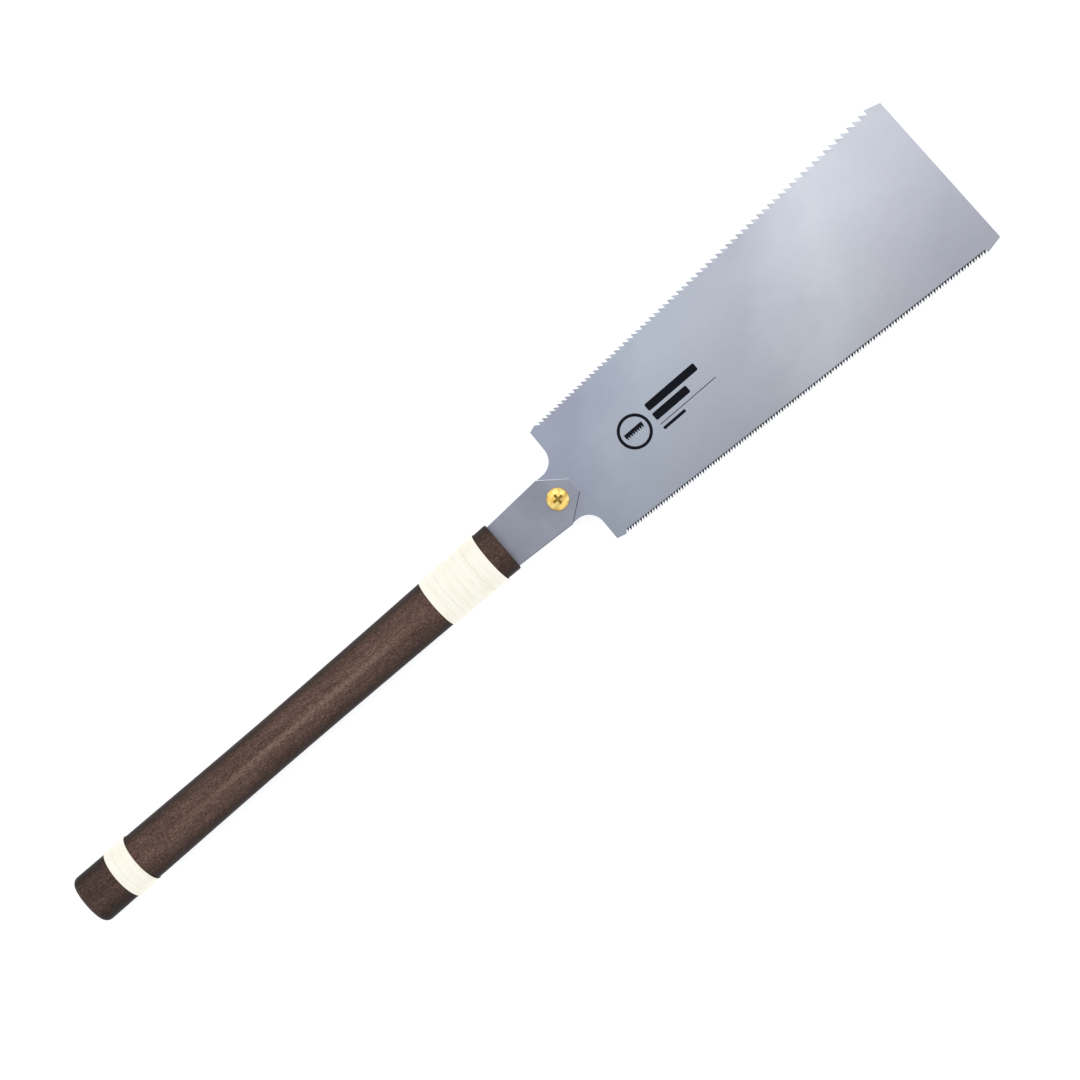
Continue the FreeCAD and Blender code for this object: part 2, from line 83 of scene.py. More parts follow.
# Teeth: how far the tips lean out of the plate, and how far the files cut back the inner side.
RIP_SET = 0.17 * MM
CROSSCUT_SET = 0.13 * MM
RIP_FILED = 0.10
CROSSCUT_FILED = 0.42

# A gullet is a corner at least this far from the middle line, and this much lower than the tips.
LOWEST_GULLET = 29 * MM
LEAST_TOOTH = 0.2 * MM

# The plate's plain edges are eased; the teeth's walls start this share of the sheet inside it.
EASED_EDGE = 0.10 * MM
WALL_SHARE = 0.02

# The printed mark: its film, where its ring and bars start, and its ring.
FILM = 0.02 * MM
MARK_REAR = HEEL + 30.6 * MM
MARK_RING_CENTRE = Vector((MARK_REAR + 9 * MM, 0.5 * MM))
MARK_RING_INNER = 7.4 * MM
MARK_RING_OUTER = 9.0 * MM
MARK_BARS = MARK_REAR + 21 * MM

# From the crown of the screw's head to the upper edge of its rim.
SCREW_DOME_DROP = 1.9 * MM

# The cane strips: steps round each turn, and how many of them, before and after the lowest point,
# cross to the next turn; then the strip's share of the pitch, its thickness and its unevenness.
STEPS_PER_TURN = 90
CROSSING_STEPS = 12
STRIP_SHARE = 0.997
STRIP_THICKNESS = 0.57 * MM
SIDE_WOBBLE = 0.03 * MM
THICKNESS_WOBBLE = 0.04

# At its trimmed ends the strip keeps this share of its width and of its thickness.
TRIMMED_WIDTH = 0.03
TRIMMED_THICKNESS = 0.35

# The strip's section, over the crown and back underneath: (across, height), as shares.
STRIP_CROWN = [
    (-1.0, 0.80),
    (-0.985, 0.91),
    (-0.95, 0.96),
    (-0.85, 0.98),
    (-0.5, 0.99),
    (0.0, 1.0),
]
STRIP_SECTION = [
    *STRIP_CROWN,
    *((-across, height) for across, height in reversed(STRIP_CROWN[:-1])),
    (0.9, 0.0),
    (0.0, 0.0),
    (-0.9, 0.0),
]

# The floor reaches far enough to fill every view.
FLOOR_HALF_SIDE = 40.0


# ---------------------------------------------------------------- mesh helpers


def make_object(name, vertices, faces, materials, face_materials=None):
    """A closed mesh object with its place in its vertices."""
    mesh = bpy.data.meshes.new(name)
    mesh.from_pydata([tuple(v) for v in vertices], [], faces)
    for material in materials:
        mesh.materials.append(material)
    if face_materials:
        mesh.polygons.foreach_set("material_index", face_materials)
    work = bmesh.new()
    work.from_mesh(mesh)
    bmesh.ops.remove_doubles(work, verts=work.verts, dist=WELD)
    bmesh.ops.triangulate(work, faces=[face for face in work.faces if len(face.verts) > 4])
    bmesh.ops.recalc_face_normals(work, faces=work.faces)
    work.to_mesh(mesh)
    work.free()
    thing = bpy.data.objects.new(name, mesh)
    bpy.context.scene.collection.objects.link(thing)
    return thing


def outline_of(node, height):
    """The corners, anticlockwise, of the single outline round a CAD node's flat face at height."""
    work = bmesh.new()
    work.from_mesh(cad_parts[node].data)
    bmesh.ops.remove_doubles(work, verts=work.verts, dist=WELD)
    flat = {f for f in work.faces if all(abs(v.co.z - height) < WELD for v in f.verts)}
    beside = {}
    for edge in work.edges:
        if len(flat.intersection(edge.link_faces)) == 1:
            for vertex in edge.verts:
                beside.setdefault(vertex, []).append(edge.other_vert(vertex))
    start = max(beside, key=lambda vertex: vertex.co.x)
    walk = [start, beside[start][0]]
    while walk[-1] is not start:
        a, b = beside[walk[-1]]
        walk.append(b if a is walk[-2] else a)
    corners = [Vector((v.co.x, v.co.y)) for v in walk[:-1]]
    work.free()
    area = sum(p.x * q.y - q.x * p.y for p, q in zip(corners, corners[1:] + corners[:1]))
    return corners if area > 0 else corners[::-1]


# ---------------------------------------------------------------- materials


class Finish:
    """One material's node tree, with short calls for the nodes that this saw needs."""

    def __init__(self, name, roughness, metallic=0.0):
        self.material = bpy.data.materials.new(name)
        self.material.use_nodes = True
        self.tree = self.material.node_tree
        self.shader = self.tree.nodes["Principled BSDF"]
        self.shader.inputs["Roughness"].default_value = roughness
        self.shader.inputs["Metallic"].default_value = metallic
        self.place = self.add("ShaderNodeTexCoord").outputs["Object"]

    def add(self, kind):
        """A new node of a kind."""
        return self.tree.nodes.new(kind)

    def set(self, socket, value):
        """Give a socket a number, a colour, a vector or another node's output."""
        if isinstance(value, bpy.types.NodeSocket):
            self.tree.links.new(value, socket)
        else:
            socket.default_value = value

    def scaled(self, factors, vector=None):
        """The place, or another vector, stretched along each axis."""
        node = self.add("ShaderNodeVectorMath")
        node.operation = "MULTIPLY"
        self.set(node.inputs[0], vector or self.place)
        self.set(node.inputs[1], factors)
        return node.outputs["Vector"]

    def noise(self, vector, scale, detail=3.0, roughness=0.55, distortion=0.0):
        """Cloudy noise, from 0 to 1 about a mean of a half."""
        node = self.add("ShaderNodeTexNoise")
        self.set(node.inputs["Vector"], vector)
        self.set(node.inputs["Scale"], scale)
        self.set(node.inputs["Detail"], detail)
        self.set(node.inputs["Roughness"], roughness)
        self.set(node.inputs["Distortion"], distortion)
        return node.outputs["Fac"]

    def maths(self, operation, a, b=0.0, c=0.0):
        """One operation on up to three values; MULTIPLY_ADD is a * b + c."""
        node = self.add("ShaderNodeMath")
        node.operation = operation
        for socket, value in zip(node.inputs, (a, b, c)):
            self.set(socket, value)
        return node.outputs["Value"]

    def product(self, *values):
        """The values multiplied together."""
        total = values[0]
        for value in values[1:]:
            total = self.maths("MULTIPLY", total, value)
        return total

    def ranged(self, value, low, high, to_low=0.0, to_high=1.0, smooth=True):
        """Value from low..high to to_low..to_high, held at both ends."""
        node = self.add("ShaderNodeMapRange")
        node.interpolation_type = "SMOOTHSTEP" if smooth else "LINEAR"
        node.clamp = True
        for name, number in zip(
            ("Value", "From Min", "From Max", "To Min", "To Max"),
            (value, low, high, to_low, to_high),
        ):
            self.set(node.inputs[name], number)
        return node.outputs["Result"]

    def axis(self, letter, vector=None):
        """One part of the place or of another vector."""
        node = self.add("ShaderNodeSeparateXYZ")
        self.set(node.inputs[0], vector or self.place)
        return node.outputs[letter]

    def attribute(self, name):
        """A vector that the mesh holds at each point."""
        node = self.add("ShaderNodeAttribute")
        node.attribute_name = name
        return node.outputs["Vector"]

    def ramp(self, factor, stops):
        """A colour for each factor; stops are (position, colour)."""
        node = self.add("ShaderNodeValToRGB")
        self.set(node.inputs["Fac"], factor)
        elements = node.color_ramp.elements
        while len(elements) < len(stops):
            elements.new(0.5)
        for element, (position, colour) in zip(elements, stops):
            element.position = position
            element.color = (*colour, 1.0)
        return node.outputs["Color"]

    def mix(self, factor, a, b, blend="MIX"):
        """From colour a to colour b, or b blended over a in another way."""
        node = self.add("ShaderNodeMix")
        node.data_type = "RGBA"
        node.blend_type = blend
        self.set(node.inputs["Factor"], factor)
        self.set(node.inputs[6], a if isinstance(a, bpy.types.NodeSocket) else (*a, 1.0))
        self.set(node.inputs[7], b if isinstance(b, bpy.types.NodeSocket) else (*b, 1.0))
        return node.outputs[2]

    def colour(self, value):
        """Set the shader's base colour."""
        self.set(self.shader.inputs["Base Color"], value)

    def rough(self, value):
        """Set the shader's roughness."""
        self.set(self.shader.inputs["Roughness"], value)

    def bumps(self, *layers):
        """Relief from (height, strength, depth) layers, each laid over the one before."""
        normal = None
        for height, strength, depth in layers:
            node = self.add("ShaderNodeBump")
            node.inputs["Strength"].default_value = strength
            node.inputs["Distance"].default_value = depth
            self.set(node.inputs["Height"], height)
            if normal:
                self.set(node.inputs["Normal"], normal)
            normal = node.outputs["Normal"]
        self.set(self.shader.inputs["Normal"], normal)


def blade_finish():
    """Satin spring steel, finely ground, with a painted reflection in its colour: darker and bluish at
    the heel, palest across its outer third, darker towards the crosscut side.
    """
    steel = Finish("blade_satin", 0.34, metallic=1.0)
    # painted reflection: along a slant the colour rises from darker and bluish at the heel to palest
    # across the outer third, in cloudy patches
    slanted = steel.maths("MULTIPLY_ADD", steel.axis("Y"), -0.63, steel.axis("X"))
    cloud = steel.noise(steel.place, 26.0, detail=3.0, roughness=0.6)
    painted_reflection_sweep = steel.ranged(slanted, HEEL, TOE, smooth=False)
    painted_reflection_sweep = steel.maths("MULTIPLY_ADD", steel.maths("SUBTRACT", cloud, 0.5), 0.26, painted_reflection_sweep)
    base = steel.ramp(
        painted_reflection_sweep,
        [
            (0.00, (0.370, 0.391, 0.460)),
            (0.20, (0.488, 0.519, 0.577)),
            (0.44, (0.515, 0.535, 0.577)),
            (0.66, (0.690, 0.699, 0.731)),
            (0.82, (0.630, 0.635, 0.673)),
            (1.00, (0.566, 0.573, 0.623)),
        ],
    )
    lines = steel.noise(steel.scaled((1.0, 30.0, 1.0)), 90.0, detail=4.0, roughness=0.7)
    grit = steel.noise(steel.place, 2600.0, detail=2.0, roughness=0.6)
    # painted shade: the colour is darker towards the crosscut side and lighter towards the rip side
    across = steel.ranged(steel.axis("Y"), -40 * MM, 24 * MM, 0.68, 0.92, smooth=False)
    tone = steel.product(
        across,
        steel.ranged(lines, 0.3, 0.7, 0.96, 1.03, smooth=False),
        steel.ranged(grit, 0.3, 0.7, 0.965, 1.035, smooth=False),
    )
    steel.colour(steel.mix(1.0, base, tone, "MULTIPLY"))
    steel.rough(steel.maths("MULTIPLY_ADD", lines, 0.12, 0.28))
    steel.bumps((lines, 0.10, 0.02 * MM), (grit, 0.08, 0.01 * MM))
    return steel.material


def hardened_finish():
    """Crosscut teeth: heat-darkened over the whole tooth, unevenly."""
    steel = Finish("hardened_teeth", 0.42, metallic=1.0)
    patch = steel.noise(steel.place, 900.0, detail=3.0)
    base = steel.ramp(patch, [(0.25, (0.014, 0.016, 0.022)), (0.75, (0.055, 0.055, 0.065))])
    steel.colour(base)
    steel.rough(steel.ranged(patch, 0.3, 0.7, 0.32, 0.5))
    steel.bumps((patch, 0.2, 0.02 * MM))
    return steel.material


def holder_finish():
    """Matt grey sheet steel, a little cloudy, with rolling marks along its length, painted shade on the
    cut edges that face the crosscut side and a painted highlight on those that face the toe and rip
    side."""
    steel = Finish("holder_steel_satin", 0.42, metallic=1.0)
    cloud = steel.noise(steel.place, 60.0, detail=3.0)
    lines = steel.noise(steel.scaled((1.0, 22.0, 22.0)), 160.0, detail=4.0, roughness=0.7)
    grit = steel.noise(steel.place, 3200.0, detail=2.0)
    base = steel.ramp(
        steel.maths("MULTIPLY_ADD", lines, 0.35, steel.product(cloud, 0.65)),
        [(0.3, (0.247, 0.253, 0.286)), (0.7, (0.330, 0.336, 0.380))],
    )
    normal = steel.add("ShaderNodeNewGeometry").outputs["Normal"]

    def facing(direction):
        """How far the surface turns to a side, from 0 to 1."""
        turned = steel.add("ShaderNodeVectorMath")
        turned.operation = "DOT_PRODUCT"
        steel.set(turned.inputs[0], normal)
        steel.set(turned.inputs[1], direction)
        return steel.ranged(turned.outputs["Value"], 0.25, 0.6)

    # painted shade: cut edges facing the crosscut side are near black; painted highlight: those facing
    # the toe and rip side are near white
    base = steel.mix(facing((0.3, -0.95, 0.0)), base, (0.02, 0.025, 0.04))
    steel.colour(steel.mix(facing((0.7, 0.7, 0.0)), base, (0.92, 0.94, 0.97)))
    steel.rough(steel.ranged(grit, 0.3, 0.7, 0.36, 0.5))
    steel.bumps((lines, 0.12, 0.02 * MM), (grit, 0.15, 0.02 * MM))
    return steel.material


def brass_finish():
    """Bright turned brass, browned by painted shade in the recess and in the driver's slot."""
    brass = Finish("bright_brass", 0.2, metallic=1.0)
    low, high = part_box("clamp_screw")
    middle = (low + high) / 2
    tarnish = brass.noise(brass.place, 420.0, detail=4.0, roughness=0.6)
    scratch = brass.noise(brass.scaled((3.0, 1.0, 1.0)), 2200.0, detail=3.0)
    base = brass.ramp(
        tarnish, [(0.30, (0.72, 0.40, 0.08)), (0.5, (0.90, 0.62, 0.17)), (0.7, (0.96, 0.78, 0.32))]
    )
    # how far a point lies under the dome that its distance from the axis gives
    offset = brass.add("ShaderNodeVectorMath")
    offset.operation = "SUBTRACT"
    brass.set(offset.inputs[0], brass.scaled((1.0, 1.0, 0.0)))
    brass.set(offset.inputs[1], (middle.x, middle.y, 0.0))
    length = brass.add("ShaderNodeVectorMath")
    length.operation = "LENGTH"
    brass.set(length.inputs[0], offset.outputs["Vector"])
    away = brass.maths("POWER", length.outputs["Value"], 2.0)
    head_radius = (high.x - low.x) / 2
    dome = brass.maths("MULTIPLY_ADD", away, -SCREW_DOME_DROP / head_radius**2, high.z)
    depth = brass.maths("SUBTRACT", dome, brass.axis("Z"))
    # painted shade browns the brass below the dome's surface, in the recess and the slot, which are
    # rougher too
    painted_recess_shade = brass.ranged(depth, 0.25 * MM, 0.7 * MM)
    brass.colour(brass.mix(brass.product(painted_recess_shade, 0.75), base, (0.19, 0.11, 0.02)))
    brass.rough(brass.maths("MULTIPLY_ADD", painted_recess_shade, 0.3, brass.ranged(scratch, 0.3, 0.7, 0.14, 0.3)))
    brass.bumps((scratch, 0.12, 0.02 * MM))
    return brass.material


def wood_finish():
    """Dark stained wood: fine speckled grain and open pores, paler along its broad faces and darker on
    its narrow sides through painted shade, and darker at its ends."""
    wood = Finish("dark_stained_wood", 0.5)
    drift = wood.noise(wood.scaled((16.0, 90.0, 90.0)), 1.0, detail=3.0, roughness=0.6)
    streaks = wood.noise(
        wood.scaled((60.0, 620.0, 620.0)), 1.0, detail=4.0, roughness=0.65, distortion=0.8
    )
    speckle = wood.noise(wood.scaled((750.0, 1500.0, 1500.0)), 1.0, detail=3.0, roughness=0.75)
    pores = wood.noise(wood.scaled((300.0, 2600.0, 2600.0)), 1.0, detail=1.5, roughness=0.5)
    dots = wood.ranged(pores, 0.62, 0.72)
    tone = wood.maths("MULTIPLY_ADD", drift, 0.35, -0.375)
    tone = wood.maths("MULTIPLY_ADD", streaks, 0.30, tone)
    tone = wood.maths("MULTIPLY_ADD", speckle, 1.10, tone)
    base = wood.ramp(
        tone,
        [
            (0.26, (0.038, 0.020, 0.014)),
            (0.44, (0.087, 0.047, 0.034)),
            (0.57, (0.134, 0.076, 0.056)),
            (0.76, (0.241, 0.150, 0.111)),
        ],
    )
    base = wood.mix(wood.product(dots, 0.7), base, (0.020, 0.011, 0.008))

    # a thin paler streak wanders along the top of the grip
    beside = wood.maths("ABSOLUTE", wood.maths("ADD", wood.axis("Y"), 0.6 * MM))
    wander = wood.maths("MULTIPLY_ADD", drift, 4.0 * MM, beside)
    pale = wood.product(
        wood.ranged(wander, 1.8 * MM, 4.6 * MM, 1.0, 0.0),
        wood.ranged(wood.axis("Z"), BLADE_MIDDLE, BLADE_MIDDLE + 6 * MM),
        wood.ranged(wood.axis("X"), BUTT + 40 * MM, BUTT + 130 * MM),
        wood.ranged(wood.axis("X"), BUTT + 180 * MM, BUTT + 222 * MM, 1.0, 0.0),
        wood.ranged(speckle, 0.3, 0.65, 0.10, 0.72),
    )
    base = wood.mix(pale, base, (0.27, 0.168, 0.122))

    # painted shade darkens the narrow sides, more so towards the rip side and the crosscut side; both
    # ends are darker too
    height = wood.maths("ABSOLUTE", wood.maths("SUBTRACT", wood.axis("Z"), BLADE_MIDDLE))
    narrow_sides = wood.ranged(height, 3.4 * MM, 8.8 * MM, 0.34, 1.0)
    rip_side = wood.ranged(wood.axis("Y"), 5.0 * MM, 12.0 * MM, 1.0, 0.64)
    crosscut_side = wood.ranged(wood.axis("Y"), -12.0 * MM, 1.0 * MM, 0.57, 1.0)
    butt_end = wood.ranged(wood.axis("X"), BUTT + 8 * MM, BUTT + 48 * MM, 0.60, 1.0)
    collar_end = wood.ranged(wood.axis("X"), BUTT + 205 * MM, BUTT + 262 * MM, 1.0, 0.70)
    painted_shade_and_darker_ends = wood.product(narrow_sides, rip_side, crosscut_side, butt_end, collar_end)
    wood.colour(wood.mix(1.0, base, painted_shade_and_darker_ends, "MULTIPLY"))
    wood.rough(wood.maths("MULTIPLY_ADD", dots, 0.2, wood.ranged(speckle, 0.3, 0.7, 0.46, 0.6)))
    wood.bumps((streaks, 0.15, 0.06 * MM), (speckle, 0.3, 0.04 * MM), (dots, -0.5, 0.08 * MM))
    wood.shader.inputs["Specular IOR Level"].default_value = 0.14
    return wood.material


def cane_finish():
    """Split cane: ivory skin with fine fibres along the strip, a few blushes and a soft gloss."""
    cane = Finish("split_cane", 0.38)
    run = cane.attribute("run")
    fibres = cane.noise(cane.scaled((120.0, 5200.0, 1.0), run), 1.0, detail=4.0, roughness=0.7)
    blush = cane.noise(cane.scaled((55.0, 240.0, 1.0), run), 1.0, detail=3.0)
    flecks = cane.noise(cane.scaled((500.0, 2600.0, 1.0), run), 1.0, detail=2.0)
    base = cane.ramp(
        cane.maths("MULTIPLY_ADD", fibres, 0.45, cane.product(blush, 0.55)),
        [(0.30, (0.82, 0.73, 0.55)), (0.47, (0.93, 0.865, 0.71)), (0.70, (0.955, 0.92, 0.83))],
    )
    edge = cane.ranged(cane.maths("ABSOLUTE", cane.axis("Y", run)), 1.9 * MM, 2.2 * MM)
    dull_edge = cane.product(edge, cane.ranged(blush, 0.45, 0.65, 0.0, 0.18))
    base = cane.mix(dull_edge, base, (0.56, 0.45, 0.30))
    base = cane.mix(cane.ranged(flecks, 0.68, 0.78, 0.0, 0.35), base, (0.55, 0.42, 0.25))
    # painted light and shade: the skin is lighter towards the crosscut side and a little darker towards
    # the rip side
    painted_light_and_shade_across = cane.ranged(cane.axis("Y"), -11 * MM, 11 * MM, 1.04, 0.985, smooth=False)
    cane.colour(cane.mix(1.0, base, painted_light_and_shade_across, "MULTIPLY"))
    cane.rough(cane.ranged(fibres, 0.3, 0.7, 0.30, 0.46))
    cane.bumps((fibres, 0.35, 0.05 * MM), (blush, 0.2, 0.15 * MM))
    cane.shader.inputs["Coat Weight"].default_value = 0.15
    cane.shader.inputs["Coat Roughness"].default_value = 0.25
    return cane.material


def ink_finish():
    """Black printed ink, matt and very slightly uneven."""
    ink = Finish("black_ink", 0.5)
    patch = ink.noise(ink.place, 700.0, detail=4.0)
    ink.colour(ink.ramp(patch, [(0.3, (0.003, 0.003, 0.006)), (0.75, (0.007, 0.007, 0.012))]))
    ink.rough(ink.ranged(patch, 0.3, 0.7, 0.55, 0.75))
    ink.shader.inputs["Specular IOR Level"].default_value = 0.08
    ink.bumps((patch, 0.2, 0.01 * MM))
    return ink.material


# ---------------------------------------------------------------- blade


def tooth_groups(corners):
    """For each tooth, the places in corners of its gullet, its two tip corners and the next
    gullet."""
    count = len(corners)
    height = [abs(corner.y) for corner in corners]
    gullets = [
        k
        for k in range(count)
        if height[k] > LOWEST_GULLET
        and height[k] < height[k - 1] - LEAST_TOOTH
        and height[k] < height[(k + 1) % count] - LEAST_TOOTH
    ]
    return [(a, a + 1, a + 2, b) for a, b in zip(gullets, gullets[1:]) if b - a == 3]


def inward_steps(corners, sharp):
    """Each corner's step into the plate for the eased edge; teeth stay sharp."""
    steps = []
    count = len(corners)
    for k, corner in enumerate(corners):
        if k in sharp:
            steps.append(Vector((0.0, 0.0)))
            continue
        before = (corner - corners[k - 1]).normalized()
        after = (corners[(k + 1) % count] - corner).normalized()
        normal = Vector((-(before.y + after.y), before.x + after.x)).normalized()
        steps.append(normal * EASED_EDGE)
    return steps


def blade_piece(steel, hardened):
    """The plate with every tooth leaning to its own side and filed back on its inner side."""
    corners = outline_of("blade", BLADE_HIGH.z)
    teeth = tooth_groups(corners)
    gullets = {k for tooth in teeth for k in (tooth[0], tooth[3])}
    tips = {k for tooth in teeth for k in tooth[1:3]}
    steps = inward_steps(corners, gullets | tips)

    top = [Vector((*(c + s), BLADE_HIGH.z)) for c, s in zip(corners, steps)]
    under = [Vector((*(c + s), BLADE_LOW.z)) for c, s in zip(corners, steps)]
    for number, (rear, first, second, front) in enumerate(teeth):
        rip = corners[first].y > 0
        lean = (-RIP_SET if rip else CROSSCUT_SET) * (1 if number % 2 else -1)
        filed = RIP_FILED if rip else CROSSCUT_FILED
        root = (corners[rear] + corners[front]) / 2
        inner = under if lean > 0 else top
        for k in (first, second):
            top[k].z += lean
            under[k].z += lean
            back = (root - corners[k]) * filed
            inner[k].x += back.x
            inner[k].y += back.y

    # four rings: the top, two at full width for the eased edge, and the underside
    count = len(corners)
    rings = [top, [], [], under]
    for k, corner in enumerate(corners):
        if steps[k].length > 0:
            rings[1].append(Vector((*corner, BLADE_HIGH.z - EASED_EDGE)))
            rings[2].append(Vector((*corner, BLADE_LOW.z + EASED_EDGE)))
        else:
            rings[1].append(top[k].lerp(under[k], WALL_SHARE))
            rings[2].append(top[k].lerp(under[k], 1 - WALL_SHARE))
    vertices = [v for ring in rings for v in ring]
    plate = [k for k in range(count) if k not in tips]
    faces = [plate, [k + 3 * count for k in reversed(plate)]]
    kinds = [0, 0]
    for tooth in teeth:
        kind = 0 if corners[tooth[1]].y > 0 else 1
        faces += [list(tooth), [k + 3 * count for k in reversed(tooth)]]
        kinds += [kind, kind]
    for ring in range(3):
        for k in range(count):
            after = (k + 1) % count
            here, there = ring * count, (ring + 1) * count
            faces.append([here + after, here + k, there + k, there + after])
            kinds.append(0)
    blade = make_object("saw_blade", vertices, faces, [steel, hardened], kinds)
    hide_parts("blade")
    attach(blade, "blade")


def ring_outline(centre, radius, count=64):
    """The corners of a circle, anticlockwise."""
    turns = [2 * math.pi * k / count for k in range(count)]
    return [centre + Vector((radius * math.cos(t), radius * math.sin(t))) for t in turns]


def bar_outline(x_low, x_high, y_low, y_high, radius):
    """A bar with round corners."""
    inner = [
        (x_high - radius, y_high - radius),
        (x_low + radius, y_high - radius),
        (x_low + radius, y_low + radius),
        (x_high - radius, y_low + radius),
    ]
    outline = []
    for quarter, corner in enumerate(inner):
        for step in range(5):
            turn = math.radians(90 * quarter + 22.5 * step)
            outline.append(Vector(corner) + radius * Vector((math.cos(turn), math.sin(turn))))
    return outline


def toothed_outline(centre, half_length, back, root, tip, teeth):
    """A small saw: a straight back above the centre and a row of even teeth below it."""
    pitch = 2 * half_length / teeth
    outline = [
        centre + Vector((half_length, back)),
        centre + Vector((-half_length, back)),
        centre + Vector((-half_length, root)),
    ]
    for tooth in range(teeth):
        rear = -half_length + pitch * tooth
        outline.append(centre + Vector((rear + pitch / 2, tip)))
        outline.append(centre + Vector((rear + pitch, root)))
    return outline


def printed_mark(ink):
    """A plain generic mark where the maker's print is: a toothed bar in a ring, bars and a rule."""
    film_low = BLADE_HIGH.z
    film_high = BLADE_HIGH.z + FILM
    # (length, lower side, upper side, corner radius)
    bars = [
        (32 * MM, 3.4 * MM, 7.6 * MM, 0.8 * MM),
        (22 * MM, -2.6 * MM, 1.6 * MM, 0.8 * MM),
        (36 * MM, -5.4 * MM, -5.0 * MM, 0.15 * MM),
        (14 * MM, -8.6 * MM, -7.0 * MM, 0.4 * MM),
    ]
    shapes = [
        bar_outline(MARK_BARS, MARK_BARS + length, lower, upper, radius)
        for length, lower, upper, radius in bars
    ]
    shapes.append(
        toothed_outline(
            MARK_RING_CENTRE, half_length=5.6 * MM, back=1.9 * MM, root=0.1 * MM, tip=-1.5 * MM, teeth=8
        )
    )
    vertices = []
    faces = []
    for shape in shapes:
        first = len(vertices)
        count = len(shape)
        vertices += [Vector((*p, film_low)) for p in shape]
        vertices += [Vector((*p, film_high)) for p in shape]
        faces.append([first + count + k for k in range(count)])
        faces.append([first + k for k in reversed(range(count))])
        for k in range(count):
            after = (k + 1) % count
            faces.append([first + k, first + after, first + count + after, first + count + k])
    inner = ring_outline(MARK_RING_CENTRE, MARK_RING_INNER)
    outer = ring_outline(MARK_RING_CENTRE, MARK_RING_OUTER)
    first = len(vertices)
    count = len(inner)
    loops = [(inner, film_low), (outer, film_low), (outer, film_high), (inner, film_high)]
    for loop, height in loops:
        vertices += [Vector((*p, height)) for p in loop]
    for level in range(4):
        for k in range(count):
            after = (k + 1) % count
            here = first + level * count
            there = first + (level + 1) % 4 * count
            faces.append([here + k, here + after, there + after, there + k])
    mark = make_object("blade_mark", vertices, faces, [ink])
    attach(mark, "blade")


# ---------------------------------------------------------------- cane wraps


def wood_surface():
    """A function that gives the handle's half width and half thickness at x."""
    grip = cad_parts["handle_grip"].data
    tree = BVHTree.FromPolygons([v.co for v in grip.vertices], [p.vertices for p in grip.polygons])
    known = {}
    step = 0.05 * MM
    aside = 4 * MM
    far = 100 * MM

    def half_axes(x):
        # two rays, set aside from the pins' holes, give the section's ellipse
        key = round(x / step)
        if key not in known:
            beside = tree.ray_cast(Vector((x, far, BLADE_MIDDLE + aside)), Vector((0, -1, 0)))[0]
            above = tree.ray_cast(Vector((x, aside, far)), Vector((0, 0, -1)))[0]
            y = beside.y**2
            z = (above.z - BLADE_MIDDLE) ** 2
            spread = y * z - aside**4
            known[key] = (
                math.sqrt(spread / (z - aside**2)),
                math.sqrt(spread / (y - aside**2)),
            )
        return known[key]

    return half_axes


def shift_of_turns(turn):
    """How many strip widths the strip's middle has moved along the handle after so many turns.

    Each turn runs straight round the wood and crosses over to the next one underneath.
    """
    crossing = round(turn)
    share = (turn - crossing) * STEPS_PER_TURN / CROSSING_STEPS
    share = max(-1.0, min(1.0, share))
    return crossing + 0.5 * share * (1.5 - 0.5 * share * share)


def strip_points(rear_end, front_end, turns, tilt, half_axes, seed):
    """The strip's vertices, a section for each step, and where each lies along and across it.

    The band lies half a tilt nearer the butt over the top of the handle, and one and a half
    nearer the toe underneath. Both its ends are trimmed straight.
    """
    pitch = (front_end - rear_end) / turns
    strip_half = pitch / 2 * STRIP_SHARE
    chance = random.Random(seed)
    waves = [(chance.uniform(0.2, 0.7), chance.uniform(0, 6.28)) for _ in range(5)]
    vertices = []
    runs = []
    for step in range(turns * STEPS_PER_TURN + 2 * CROSSING_STEPS + 1):
        turn = (step - CROSSING_STEPS) / STEPS_PER_TURN
        angle = 2 * math.pi * turn - math.pi
        middle = rear_end + pitch * shift_of_turns(turn)
        rear = max(middle - strip_half, rear_end)
        front = min(middle + strip_half, front_end)
        half = max((front - rear) / 2, strip_half * TRIMMED_WIDTH)
        ease = half / strip_half
        wobble = sum(math.sin(f * angle + p) for f, p in waves) / len(waves)
        centre = (rear + front) / 2 + SIDE_WOBBLE * wobble * ease + tilt * (0.5 - math.cos(angle))
        thickness = STRIP_THICKNESS * (1 + THICKNESS_WOBBLE * wobble)
        thickness *= TRIMMED_THICKNESS + (1 - TRIMMED_THICKNESS) * ease
        around, _ = half_axes(centre)
        for across, rise in STRIP_SECTION:
            x = centre + across * half
            half_width, half_height = half_axes(x)
            wood = Vector((x, half_width * math.sin(angle), half_height * math.cos(angle)))
            normal = Vector((0.0, wood.y / half_width**2, wood.z / half_height**2)).normalized()
            wood.z += BLADE_MIDDLE
            vertices.append(wood + normal * thickness * rise)
            runs.append((turn * 2 * math.pi * around, across * half, float(seed)))
    return vertices, runs


